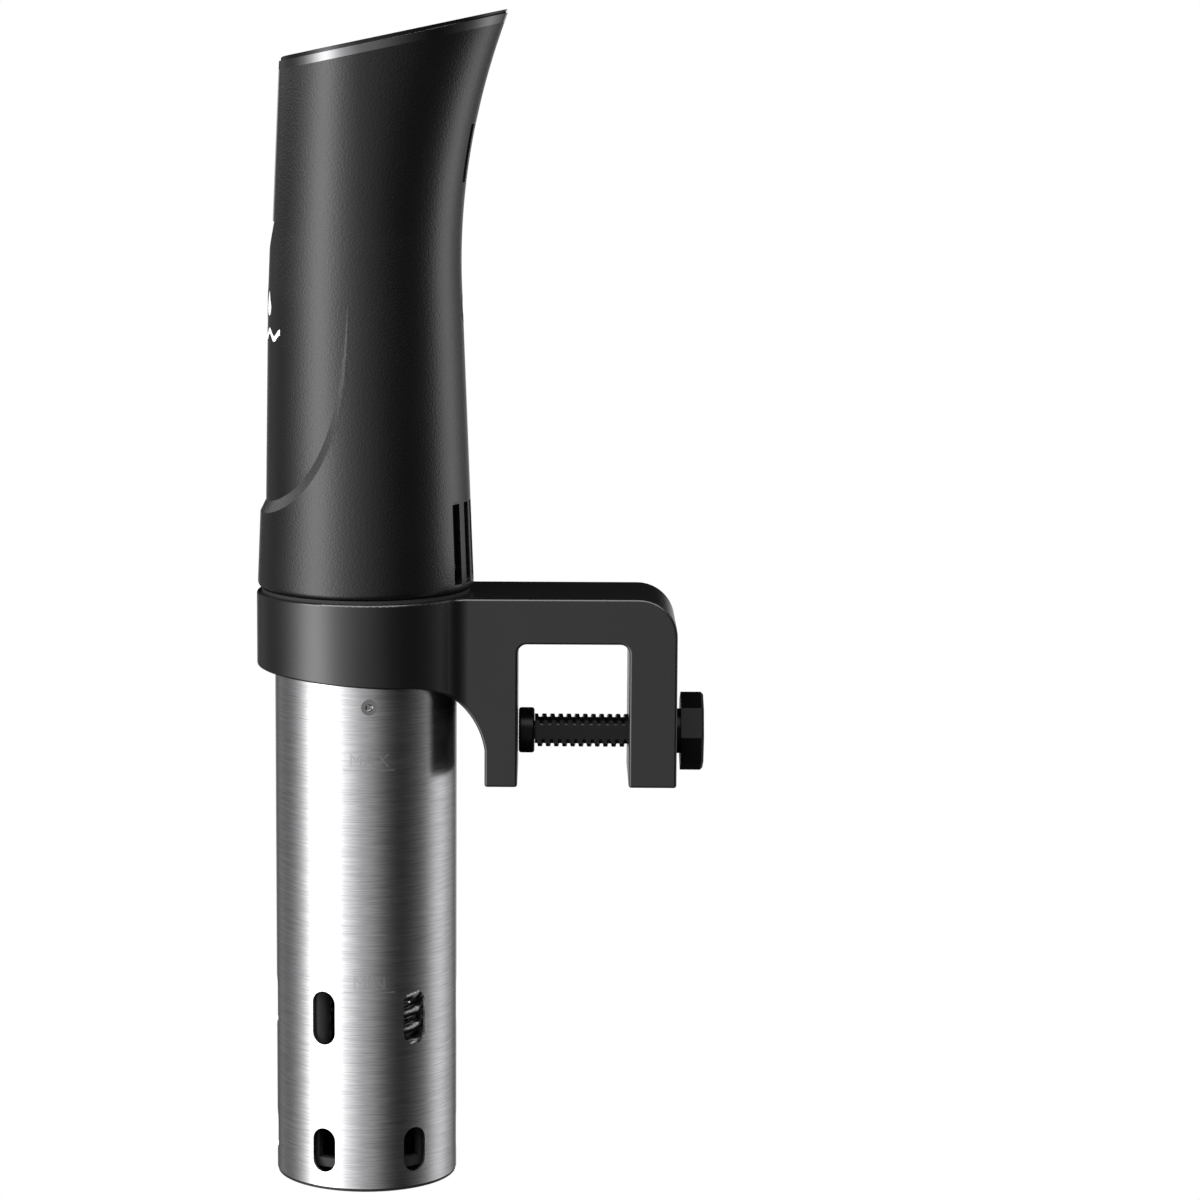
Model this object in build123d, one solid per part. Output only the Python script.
from build123d import *
import os
from math import atan2, cos, degrees, radians, sin

# An immersion circulator that clamps on the rim of a pot.
# Frame: +Z up along the tube, +X towards the clamp arm, origin at the centre of the tube's underside.
# All sizes are in millimetres.

# ---- driving dimensions ----
TUBE_R = 30.0             # outer radius of the steel skirt
TUBE_WALL = 0.8
TUBE_BOTTOM = 1.0
TUBE_TOP = 193.0
CAP_PLUG_TOP = 4.6
FEATURE_TURN = 4.4        # the skirt's marks and slots are turned this far from -Y

SLOT_WIDTH = 8.2
SLOT_COUNT = 6
UPPER_SLOT = (49.0, 67.0)
LOWER_SLOT = (5.9, 20.75)
LOCK_Z = 162.0            # height of the bayonet pins
LOCK_COUNT = 3
LOCK_HEAD_R = 2.55
LOCK_SHANK_R = 1.3
LOCK_TRAVEL = 20.0        # degrees of twist that unlock the skirt

COLLAR_R = 35.9           # clamp collar round the tube
COLLAR_TOP = 196.2
COLLAR_BORE = 30.4
FLANGE_BOTTOM = 193.5
FLANGE_BORE = 19.5

ARM_HALF = 20.0           # half width of the clamp arm
ARM_END = 102.1
ARM_CORNER = 12.6
LEG_BOTTOM = 134.0
INNER_LEG = (39.5, 50.2)
OUTER_LEG_IN = 86.5
JAW_TOP = 181.2
JAW_CORNER = 3.0
ARM_EDGE = 0.9

SCREW_Z = 149.5
SCREW_R = 5.45
SCREW_CORE_R = 4.45
SCREW_PITCH = 2.7
SCREW_CREST = 1.3
SCREW_FLAT = 3.8          # half width between the screw's flats
SCREW_START = 55.8
SCREW_FIT = 0.07
PAD_R = 7.5
PAD_START = 50.5
PAD_END = 55.7
TIP_R = 3.0
TIP_LENGTH = 3.6
KNOB_START = 103.7
KNOB_END = 111.2
KNOB_R = 13.1             # to the corners of the octagon
BOSS_R = 7.4
BOSS_START = 102.4

HEAD_BOTTOM = 197.3
HEAD_R = 35.6             # at the bottom
WAIST_Z = 307.0
WAIST_R = 31.1
HEAD_TAPER = (HEAD_R - WAIST_R) / (WAIST_Z - HEAD_BOTTOM)
FLARE_Z = 296.0           # above this the back flares as (z - FLARE_Z)^2 / LIP_CURVE
LIP_CURVE = 425.0
HEAD_LEVELS = [HEAD_BOTTOM + 18.0 * i for i in range(12)]
HEAD_WALL = 2.2
HEAD_EDGE = 2.4
TOP_FRONT = (-24.8, 370.5)
TOP_BACK = (47.1, 385.5)
TOP_TILT = degrees(atan2(TOP_BACK[1] - TOP_FRONT[1], TOP_BACK[0] - TOP_FRONT[0]))

GRIP_DEPTH = 1.75
GRIP_FULL_Z = 226.0       # below this the grip has its full depth
GRIP_FADE_Z = 300.0       # here it runs out
GRIP_SIDE = ((-38.0, 222.3), (-30.8, 223.9), (-24.6, 226.9), (-18.8, 231.5), (-14.3, 236.5),
             (-11.2, 242.0), (-9.0, 251.0), (-6.6, 268.0), (-3.6, 302.0))

FASCIA_LOW = (-29.4, 317.5)
FASCIA_HIGH = (-26.6, 381.0)
FASCIA_STEP_Z = 307.0
FASCIA_THICK = 0.9
FASCIA_HALF = 8.6
TRIM_HALF = 10.0

BEZEL_LOW = 3.9           # depths below the slanted top plane
BEZEL_HIGH = 1.2
BEZEL_LAND = 4.5
GLASS_INSET = 0.6
GLASS_THICK = 1.6
NOSE = ((-27.17, 368.16), (-26.60, 369.61), (-25.26, 370.40))      # rounding of the front corner
BOARD_THICK = 1.6

LOW_VENT = (200.4, 226.6, 4.0)
LOW_VENT_ANGLES = [10.5 * (i - 2.5) for i in range(6)]
HIGH_VENT = (330.0, 348.7, 3.4)
HIGH_VENT_ANGLES = [10.5 * (i - 1) for i in range(3)]
GLAND_Z = 289.0
GLAND_R = 5.0
CABLE_R = 3.25
GLAND_START = 27.2

PLATE_BOTTOM = COLLAR_TOP
PLATE_TOP = 198.2
PLATE_R = 31.0
SCREW_RING = 23.0         # radius of the three assembly screws
SCREW_ANGLES = (60.0, 180.0, 300.0)
ASSEMBLY_SCREW_R = 1.5
ASSEMBLY_HEAD_R = 2.6
BOSS_TOP = 214.0

SHAFT_R = 2.0
MOTOR_SHAFT_R = 1.6
RUN_FIT = 0.05
COUPLING = (200.5, 212.5)
SHAFT_JOINT_Z = 206.5
MOTOR = (214.5, 240.0)
MOTOR_R = 17.5
BRACKET_TOP = 242.5
FAN = (245.0, 253.0)
FAN_R = 20.0

SOCKET_R = 28.8
SOCKET_BORE = 25.8
SOCKET_BOTTOM = 154.0

COIL_R = 17.0
COIL_WIRE = 2.25
COIL_PITCH = 5.6
COIL_LOW = 44.0
COIL_TURNS = 12
COIL_RETURN = 10.4        # radius of the end that comes back up inside the coil

PUMP_TOP = 34.5
PUMP_BOTTOM = 7.0
PUMP_R = 27.5
ROD_R = 2.0
ROD_RING = 23.4
ROD_ANGLES = (357.7, 117.7)
PROBE_ANGLE = 235.3
PROBE_RING = 24.9
PROBE_R = 3.4
PROBE_TOP = 150.0
PROBE_STEM_R = 1.6
IMPELLER = (10.0, 24.0)
IMPELLER_R = 19.0

POWER_BOARD_X = -5.0
POWER_BOARD_Z = (262.0, 336.0)
POWER_BOARD_HALF = 22.0


# ---- helpers ----
def at_angle(angle, radius, z=0.0):
    return Rot(0, 0, angle) * Pos(radius, 0, z)


def ring(outer, inner, low, high):
    body = Pos(0, 0, low) * extrude(Circle(outer) - Circle(inner), high - low)
    return body


def rod(radius, low, high):
    return Pos(0, 0, low) * extrude(Circle(radius), high - low)


def rod_x(radius, start, end, z=SCREW_Z):
    return Pos(start, 0, z) * Rot(0, 90, 0) * extrude(Circle(radius), end - start)


def feature_angle(index, count):
    """Angle of one of the features spaced evenly round the skirt, the first one facing -Y."""
    return -90 + FEATURE_TURN + index * 360 / count


def head_front(z):
    return HEAD_R - HEAD_TAPER * (z - HEAD_BOTTOM)


def head_back(z):
    return head_front(z) + max(z - FLARE_Z, 0.0) ** 2 / LIP_CURVE


def head_side(z):
    return max(head_front(z), WAIST_R - 0.3)


def grip_depth(z):
    """Depth of the grip at a height; it goes below zero above the grip's top end."""
    return GRIP_DEPTH * min((GRIP_FADE_Z - z) / (GRIP_FADE_Z - GRIP_FULL_Z), 1.0)


def head_section(z, inset):
    half_width = head_side(z) - inset
    front = EllipticalCenterArc((0, 0), head_front(z) - inset, half_width, start_angle=90, arc_size=180)
    back = EllipticalCenterArc((0, 0), head_back(z) - inset, half_width, start_angle=270, arc_size=180)
    return Pos(0, 0, z) * make_face([front, back])


def head_loft(wall=0.0):
    return loft([head_section(z, wall) for z in HEAD_LEVELS])


def grip_loft():
    return loft([head_section(z, grip_depth(z)) for z in HEAD_LEVELS])


def cavity_loft():
    """The space inside the head: one wall inside the outer face, and inside the grip too."""
    return loft([head_section(z, HEAD_WALL + max(grip_depth(z), 0.0)) for z in HEAD_LEVELS])


def top_slab(low, high):
    """A large slab parallel to the slanted top, between two depths below it."""
    slab = extrude(Rectangle(160, 120), low - high)
    centre = Pos((TOP_FRONT[0] + TOP_BACK[0]) / 2, 0, (TOP_FRONT[1] + TOP_BACK[1]) / 2)
    return centre * Rot(0, -TOP_TILT, 0) * Pos(0, 0, -low) * slab


def below_top(depth):
    return top_slab(400, depth)


def side_shape(points, half_width):
    """A closed outline in the XZ plane, extruded both ways along Y."""
    outline = make_face(Plane.XZ * Polyline(*points, close=True))
    return extrude(outline, half_width, both=True)


def fascia_block(low_z, behind, half_width):
    """What lies in front of the fascia's plane, moved back by a distance, above a height."""
    slope = (FASCIA_HIGH[0] - FASCIA_LOW[0]) / (FASCIA_HIGH[1] - FASCIA_LOW[1])
    top_z = 400.0
    low_x = FASCIA_LOW[0] + (low_z - FASCIA_LOW[1]) * slope + behind
    high_x = FASCIA_LOW[0] + (top_z - FASCIA_LOW[1]) * slope + behind
    return side_shape([(-50, low_z), (low_x, low_z), (high_x, top_z), (-50, top_z)], half_width)


# ---- head ----
def grip_cutter():
    edge = Plane.XZ * Spline(*GRIP_SIDE)
    low, high = GRIP_SIDE[0], GRIP_SIDE[-1]
    close = Plane.XZ * Polyline(high, (low[0], high[1]), low)
    side = extrude(make_face([edge, close]), 50, both=True)
    return side - grip_loft()


def vents():
    cuts = []
    for low, high, width, angles in ((*LOW_VENT, LOW_VENT_ANGLES), (*HIGH_VENT, HIGH_VENT_ANGLES)):
        for angle in angles:
            cuts.append(at_angle(angle, 33, (low + high) / 2) * Box(18, width, high - low))
    return cuts


def head_housing():
    outer = head_loft()
    outer = fillet(outer.edges().group_by(Axis.Z)[0], HEAD_EDGE)
    outer -= grip_cutter()
    front_cut = side_shape([(-50, FASCIA_STEP_Z - 1), (-31.2, FASCIA_STEP_Z - 1), (-31.2, FASCIA_STEP_Z),
                            FASCIA_LOW, (FASCIA_HIGH[0], FASCIA_HIGH[1]), (-50, FASCIA_HIGH[1])], 40)
    outer -= front_cut
    outer -= fascia_block(FASCIA_LOW[1], FASCIA_THICK, TRIM_HALF)
    outer &= below_top(BEZEL_LOW)
    cavity = cavity_loft() - fascia_block(FASCIA_STEP_Z - 4, FASCIA_THICK + HEAD_WALL, 40)
    shell = outer - cavity
    for angle in SCREW_ANGLES:
        boss = at_angle(angle, SCREW_RING) * rod(3.4, PLATE_TOP, BOSS_TOP)
        rib = at_angle(angle, 28, (PLATE_TOP + BOSS_TOP) / 2) * Box(10, 2.4, BOSS_TOP - PLATE_TOP)
        hole = at_angle(angle, SCREW_RING) * rod(ASSEMBLY_SCREW_R, PLATE_TOP - 1, BOSS_TOP - 3)
        shell += (boss + (rib & outer)) - hole
    low, high = POWER_BOARD_Z
    guide = Box(7, 14, high - low) - Box(BOARD_THICK, 40, high - low)
    for side in (1, -1):
        post = Pos(POWER_BOARD_X, side * 27, (low + high) / 2) * guide
        inside = head_loft(HEAD_WALL / 2)
        shell += post & inside
        shell -= Pos(POWER_BOARD_X, 0, (low + high) / 2) * Box(BOARD_THICK, 2 * POWER_BOARD_HALF, high - low)
    for cut in vents():
        shell -= cut
    shell -= rod_x(GLAND_R, 20, 40, GLAND_Z)
    return shell


def front_fascia():
    """The gloss plate on the head's front, below the display."""
    return fascia_plate(FASCIA_HALF, TRIM_HALF - FASCIA_HALF)


def fascia_trim():
    return fascia_plate(TRIM_HALF, 0) - fascia_plate(FASCIA_HALF, TRIM_HALF - FASCIA_HALF)


def fascia_plate(half_width, inset):
    plate = fascia_block(FASCIA_LOW[1] + inset, FASCIA_THICK, half_width)
    plate -= fascia_block(FASCIA_LOW[1] - 1, 0.0, 60)
    return plate & below_top(BEZEL_LOW)


def nose_cutter():
    """What the rounding takes off the corner where the slanted top meets the front."""
    start, middle, end = NOSE
    arc = Plane.XZ * ThreePointArc(start, middle, end)
    rest = Plane.XZ * Polyline(end, (end[0], end[1] + 5), (start[0] - 5, end[1] + 5), (start[0] - 5, start[1]), start)
    return extrude(make_face([arc, rest]), 60, both=True)


def display_bezel():
    band = head_loft() & top_slab(BEZEL_LOW, BEZEL_HIGH)
    band -= fascia_block(FASCIA_LOW[1], 0.0, 60)
    band -= head_loft(GLASS_INSET) & top_slab(GLASS_THICK, 0)
    return band - head_loft(BEZEL_LAND) - nose_cutter()


def display_glass():
    glass = head_loft(GLASS_INSET) & top_slab(GLASS_THICK, 0)
    return glass - fascia_block(FASCIA_LOW[1], GLASS_INSET, 60) - nose_cutter()


def display_board():
    board = head_loft(HEAD_WALL + 0.4) & top_slab(BEZEL_LOW + BOARD_THICK, BEZEL_LOW)
    return board - fascia_block(FASCIA_LOW[1], FASCIA_THICK + HEAD_WALL, 60)


def display_module():
    block = Pos(8, 0, 380) * Box(34, 20, 60)
    return block & top_slab(BEZEL_LOW, GLASS_THICK)


def power_board():
    low, high = POWER_BOARD_Z
    return Pos(POWER_BOARD_X, 0, (low + high) / 2) * Box(BOARD_THICK, 2 * POWER_BOARD_HALF, high - low)


def heat_sink():
    """A comb of aluminium fins on the back of the power board."""
    face_x = POWER_BOARD_X + BOARD_THICK / 2
    sink = Pos(face_x + 1, 0, 286) * Box(2, 26, 34)
    for index in range(7):
        sink += Pos(face_x + 6.5, (index - 3) * 4, 286) * Box(9, 1.2, 34)
    return sink


def power_components():
    """Relay, capacitor and transformer on the front of the power board."""
    face_x = POWER_BOARD_X - BOARD_THICK / 2
    relay = Pos(face_x - 6, -9, 280) * Box(12, 14, 18)
    transformer = Pos(face_x - 6, 9, 278) * Box(12, 15, 16)
    capacitor = rod_x(5, face_x - 14, face_x, 308)
    return Compound(children=[relay, transformer, capacitor])


def cable_gland():
    """The rubber-lined inlet for the mains lead, flush with the back of the head."""
    gland = rod_x(GLAND_R, GLAND_START, 40, GLAND_Z) & head_loft()
    gland += rod_x(GLAND_R + 2.2, GLAND_START, 40, GLAND_Z) & cavity_loft()
    return gland - rod_x(CABLE_R, 20, 40, GLAND_Z)


# ---- drive ----
def motor_can():
    low, high = MOTOR
    can = rod(MOTOR_R, low, high) - rod(MOTOR_R - 1.5, low + 1.5, high - 1.5)
    return can - rod(MOTOR_SHAFT_R + RUN_FIT, low - 1, high + 1)


def motor_magnets():
    low, high = MOTOR
    magnets = ring(MOTOR_R - 1.5, 12.5, low + 4, high - 4)
    return magnets - Box(60, 4, 600)


def motor_core():
    """Slotted stack of laminations on the motor's shaft."""
    low, high = MOTOR
    core = rod(11.8, low + 5, high - 5) - rod(MOTOR_SHAFT_R, low, high)
    for index in range(6):
        core -= at_angle(index * 60, 9.5, (low + high) / 2) * Box(6, 2.4, high - low)
    return core


def motor_bracket():
    """A plate on three legs that holds the motor above the base plate."""
    low = MOTOR[1]
    plate = rod(26, low, BRACKET_TOP)
    for angle in SCREW_ANGLES:
        plate -= at_angle(angle, 21) * rod(7.0, low - 1, BRACKET_TOP + 1)
        plate += at_angle(angle + 60, 22.5) * rod(2.5, PLATE_TOP, low)
    return plate - rod(MOTOR_SHAFT_R + 1.5, low - 1, BRACKET_TOP + 1)


def motor_shaft():
    return rod(MOTOR_SHAFT_R, SHAFT_JOINT_Z, FAN[1] + 1.5)


def cooling_fan():
    low, high = FAN
    fan = ring(4.2, MOTOR_SHAFT_R, low, high)
    for index in range(7):
        blade = Rot(38, 0, 0) * Box(FAN_R - 4, 1.2, 10)
        blade = Pos((FAN_R + 4) / 2, 0, (low + high) / 2) * blade
        fan += Rot(0, 0, index * 360 / 7) * blade & ring(FAN_R, 3.6, low, high)
    return fan


def shaft_coupling():
    low, high = COUPLING
    body = rod(4.6, low, high)
    body -= rod(SHAFT_R, low - 1, SHAFT_JOINT_Z)
    return body - rod(MOTOR_SHAFT_R, SHAFT_JOINT_Z, high + 1)


def drive_shaft():
    return rod(SHAFT_R, IMPELLER[0] - 1.5, SHAFT_JOINT_Z)


def shaft_seal():
    return ring(6.0, SHAFT_R + RUN_FIT, FLANGE_BOTTOM, PLATE_TOP + 1)


def impeller():
    low, high = IMPELLER
    wheel = rod(IMPELLER_R, high - 1.6, high) + rod(4.5, low, high)
    for index in range(6):
        vane = Pos(IMPELLER_R / 2 + 1, 0, (low + high) / 2) * Rot(0, 0, 18) * Box(IMPELLER_R - 4, 1.4, high - low)
        wheel += Rot(0, 0, index * 60) * vane
    wheel &= rod(IMPELLER_R, low, high)
    return wheel - rod(SHAFT_R, low - 1, high + 1)


# ---- what hangs in the water ----
def base_plate():
    plate = rod(PLATE_R, PLATE_BOTTOM, PLATE_TOP) - rod(6.0, PLATE_BOTTOM - 1, PLATE_TOP + 1)
    for angle in SCREW_ANGLES:
        plate -= at_angle(angle, SCREW_RING) * rod(ASSEMBLY_SCREW_R, PLATE_BOTTOM - 1, PLATE_TOP + 1)
    return plate


def base_seal():
    return ring(PLATE_R + 3.2, PLATE_R, COLLAR_TOP, HEAD_BOTTOM)


def tube_socket():
    """The spigot inside the skirt's top, with L-shaped slots for the bayonet pins."""
    socket = ring(SOCKET_R, SOCKET_BORE, SOCKET_BOTTOM, FLANGE_BOTTOM)
    socket += ring(SOCKET_R, FLANGE_BORE, FLANGE_BOTTOM - 3, FLANGE_BOTTOM)
    clear = LOCK_SHANK_R + 0.5
    for index in range(LOCK_COUNT):
        rest = feature_angle(index, LOCK_COUNT)
        steps = 6
        for step in range(steps + 1):
            angle = rest + LOCK_TRAVEL * step / steps
            socket -= Rot(0, 0, angle) * rod_x(clear, SOCKET_BORE - 2, SOCKET_R + 2, LOCK_Z)
        entry = rest + LOCK_TRAVEL
        socket -= at_angle(entry, SOCKET_R - 1.5, (LOCK_Z + SOCKET_BOTTOM) / 2) * Box(
            8, 2 * clear, LOCK_Z - SOCKET_BOTTOM + 0.2)
    for angle in SCREW_ANGLES:
        socket -= at_angle(angle, SCREW_RING) * rod(ASSEMBLY_SCREW_R, FLANGE_BOTTOM - 4, FLANGE_BOTTOM + 1)
    return socket


def assembly_screws():
    screws = []
    for angle in SCREW_ANGLES:
        head = rod(ASSEMBLY_HEAD_R, FLANGE_BOTTOM - 5, FLANGE_BOTTOM - 3)
        socket = rod(1.2, FLANGE_BOTTOM - 5.1, FLANGE_BOTTOM - 3.9)
        screw = head - socket + rod(ASSEMBLY_SCREW_R, FLANGE_BOTTOM - 3, BOSS_TOP - 4)
        screws.append(at_angle(angle, SCREW_RING) * screw)
    return Compound(children=screws)


def heater_coil():
    """A sheathed heating element wound round the drive shaft: one end runs straight up to the base
    plate, the other turns in under the coil and comes back up inside it."""
    height = COIL_TURNS * COIL_PITCH
    path = Pos(0, 0, COIL_LOW) * Rot(0, 0, -90) * Helix(COIL_PITCH, height, COIL_R)
    start = Plane(path @ 0, z_dir=path % 0)
    coil = sweep(start * Circle(COIL_WIRE), path=path, is_frenet=True)
    up = at_angle(-90, COIL_R) * rod(COIL_WIRE, COIL_LOW + height, PLATE_BOTTOM)
    inward = Rot(0, 0, -90) * rod_x(COIL_WIRE, COIL_RETURN, COIL_R, COIL_LOW)
    back_up = at_angle(-90, COIL_RETURN) * rod(COIL_WIRE, COIL_LOW, PLATE_BOTTOM)
    bends = [Pos(0, -COIL_R, COIL_LOW + height) * Sphere(COIL_WIRE), Pos(0, -COIL_R, COIL_LOW) * Sphere(COIL_WIRE),
             Pos(0, -COIL_RETURN, COIL_LOW) * Sphere(COIL_WIRE)]
    return coil + [up, inward, back_up, *bends]


def temperature_probe():
    """The sensor in its dark sleeve, hung on a thinner stem."""
    sleeve = at_angle(PROBE_ANGLE, PROBE_RING) * rod(PROBE_R, PUMP_TOP, PROBE_TOP)
    stem = at_angle(PROBE_ANGLE, ROD_RING) * rod(PROBE_STEM_R, PROBE_TOP, FLANGE_BOTTOM - 3)
    return sleeve + stem


def level_probes():
    rods = []
    for index, low in enumerate((62.0, 132.0)):
        rods.append(at_angle(30 + index * 40, ROD_RING - 1) * rod(1.2, low, FLANGE_BOTTOM - 3))
    return Compound(children=rods)


def support_rods():
    return Compound(children=[at_angle(angle, ROD_RING) * rod(ROD_R, PUMP_TOP, FLANGE_BOTTOM - 3)
                              for angle in ROD_ANGLES])


def pump_housing():
    """A drum round the impeller, open below, with an outlet window behind each lower slot."""
    drum = rod(PUMP_R, PUMP_BOTTOM, PUMP_TOP) - rod(PUMP_R - 2.5, PUMP_BOTTOM - 1, PUMP_TOP - 3)
    drum -= rod(4.5, 0, PUMP_TOP + 1)
    for index in range(SLOT_COUNT):
        angle = feature_angle(index + 0.5, SLOT_COUNT)
        drum -= at_angle(angle, PUMP_R, 15) * Box(10, 6.4, 10)
    return drum


def lower_bush():
    return ring(4.5, SHAFT_R + RUN_FIT, PUMP_TOP - 3, PUMP_TOP + 2)


# ---- skirt ----
def slot_cutter(angle, low, high):
    width = SLOT_WIDTH
    stadium = SlotOverall(high - low, width)
    body = extrude(stadium, 30)
    return Rot(0, 0, angle) * Pos(15, 0, (low + high) / 2) * Rot(0, 90, 0) * body


def skirt_tube():
    tube = ring(TUBE_R, TUBE_R - TUBE_WALL, TUBE_BOTTOM, TUBE_TOP)
    for index in range(SLOT_COUNT):
        angle = feature_angle(index + 0.5, SLOT_COUNT)
        for low, high in (UPPER_SLOT, LOWER_SLOT):
            tube -= slot_cutter(angle, low, high)
    for index in range(LOCK_COUNT):
        tube -= Rot(0, 0, feature_angle(index, LOCK_COUNT)) * rod_x(LOCK_SHANK_R, 20, 40, LOCK_Z)
    return tube


def skirt_lock_pins():
    pins = []
    for index in range(LOCK_COUNT):
        shank = rod_x(LOCK_SHANK_R, SOCKET_R - 2.4, TUBE_R + 0.1, LOCK_Z)
        head = rod_x(LOCK_HEAD_R, TUBE_R - 1, TUBE_R + 0.35, LOCK_Z) - rod(TUBE_R, 100, 200)
        dimple = rod_x(LOCK_SHANK_R, TUBE_R + 0.1, TUBE_R + 1, LOCK_Z)
        pins.append(Rot(0, 0, feature_angle(index, LOCK_COUNT)) * (shank + head - dimple))
    return Compound(children=pins)


def skirt_end_cap():
    inner = TUBE_R - TUBE_WALL
    cap = rod(TUBE_R - 0.3, 0, TUBE_BOTTOM) + ring(inner, inner - 2, TUBE_BOTTOM, CAP_PLUG_TOP)
    return cap


# ---- clamp ----
def clamp_plan():
    plan = Circle(COLLAR_R) + Pos(ARM_END / 2, 0) * Rectangle(ARM_END, 2 * ARM_HALF)
    joint_x = (COLLAR_R ** 2 - ARM_HALF ** 2) ** 0.5
    corners = [v for v in plan.vertices() if abs(v.X - joint_x) < 0.5]
    return fillet(corners, 9.0)


def clamp_side():
    """The clamp seen from the side: collar, arm, jaw and two legs."""
    inner_leg, jaw = INNER_LEG
    top, corner = COLLAR_TOP, ARM_CORNER
    collar_low, collar_end, sweep_mid, leg_start = (-36.5, 171.6), (12.2, 168.3), (32.1, 160.8), (inner_leg, 146)
    outline = [
        Line((-36.5, top), (ARM_END - corner, top)),
        RadiusArc((ARM_END - corner, top), (ARM_END, top - corner), corner),
        Line((ARM_END, top - corner), (ARM_END, LEG_BOTTOM)),
        Line((ARM_END, LEG_BOTTOM), (OUTER_LEG_IN, LEG_BOTTOM)),
        Line((OUTER_LEG_IN, LEG_BOTTOM), (OUTER_LEG_IN, JAW_TOP - JAW_CORNER)),
        RadiusArc((OUTER_LEG_IN, JAW_TOP - JAW_CORNER), (OUTER_LEG_IN - JAW_CORNER, JAW_TOP), -JAW_CORNER),
        Line((OUTER_LEG_IN - JAW_CORNER, JAW_TOP), (jaw + JAW_CORNER, JAW_TOP)),
        RadiusArc((jaw + JAW_CORNER, JAW_TOP), (jaw, JAW_TOP - JAW_CORNER), -JAW_CORNER),
        Line((jaw, JAW_TOP - JAW_CORNER), (jaw, LEG_BOTTOM)),
        Line((jaw, LEG_BOTTOM), (inner_leg, LEG_BOTTOM)),
        Line((inner_leg, LEG_BOTTOM), leg_start),
        ThreePointArc(leg_start, sweep_mid, collar_end),
        Line(collar_end, collar_low),
        Line(collar_low, (-36.5, top)),
    ]
    return make_face([Plane.XZ * edge for edge in outline])


def clamp_body():
    body = Pos(0, 0, LEG_BOTTOM) * extrude(clamp_plan(), COLLAR_TOP - LEG_BOTTOM)
    body &= extrude(clamp_side(), 50, both=True)
    body = fillet(body.edges(), ARM_EDGE)
    body -= rod(COLLAR_BORE, 100, FLANGE_BOTTOM)
    body -= rod(FLANGE_BORE, 100, 250)
    for angle in SCREW_ANGLES:
        body -= at_angle(angle, SCREW_RING) * rod(ASSEMBLY_SCREW_R, FLANGE_BOTTOM - 1, COLLAR_TOP + 1)
    return body - rod_x(SCREW_R + SCREW_FIT, OUTER_LEG_IN - 1, ARM_END + 1)


def clamp_screw():
    """Coarse screw with two flats. Its ridges stand in rings, one pitch apart."""
    body = rod_x(SCREW_CORE_R, SCREW_START, BOSS_START)
    count = int((BOSS_START - 1 - SCREW_START) / SCREW_PITCH)
    for index in range(count):
        start = SCREW_START + 1.0 + index * SCREW_PITCH
        ridge = rod_x(SCREW_R, start, start + SCREW_CREST)
        body += ridge
    body -= Pos((SCREW_START + BOSS_START) / 2, SCREW_FLAT + 5, SCREW_Z) * Box(70, 10, 20)
    body -= Pos((SCREW_START + BOSS_START) / 2, -SCREW_FLAT - 5, SCREW_Z) * Box(70, 10, 20)
    body += rod_x(TIP_R, SCREW_START - TIP_LENGTH, SCREW_START)
    body += rod_x(3.2, BOSS_START, KNOB_END - 2)
    return body - knob_pin()


def clamp_pad():
    pad = rod_x(PAD_R, PAD_START, PAD_END)
    pad = fillet(pad.edges().filter_by(GeomType.CIRCLE), 0.9)
    return pad - rod_x(TIP_R + SCREW_FIT, SCREW_START - TIP_LENGTH - 0.3, PAD_END + 1)


def clamp_knob():
    octagon = Plane.YZ * RegularPolygon(KNOB_R, 8)
    body = Pos(KNOB_START, 0, SCREW_Z) * extrude(octagon, KNOB_END - KNOB_START)
    body = chamfer(body.edges().group_by(Axis.X)[-1], 0.8)
    body += rod_x(BOSS_R, BOSS_START, KNOB_START)
    return body - rod_x(3.2, BOSS_START - 1, KNOB_END - 2) - knob_pin()


def knob_pin():
    return Pos((KNOB_START + KNOB_END - 2) / 2, 0, SCREW_Z - 8) * extrude(Circle(1.0), 16)


def main():
    os.makedirs("parts", exist_ok=True)
    pieces = (head_housing, front_fascia, fascia_trim, display_bezel, display_glass, display_board,
              display_module, power_board, heat_sink, power_components, cable_gland, motor_can,
              motor_magnets, motor_core, motor_bracket, motor_shaft, cooling_fan, shaft_coupling,
              drive_shaft, shaft_seal, impeller, base_plate, base_seal, tube_socket, assembly_screws,
              heater_coil, temperature_probe, level_probes, support_rods, pump_housing, lower_bush,
              skirt_tube, skirt_lock_pins, skirt_end_cap, clamp_body, clamp_screw, clamp_pad,
              clamp_knob, knob_pin)
    for piece in pieces:
        export_step(piece(), f"parts/{piece.__name__}.step")


if __name__ == "__main__":
    main()
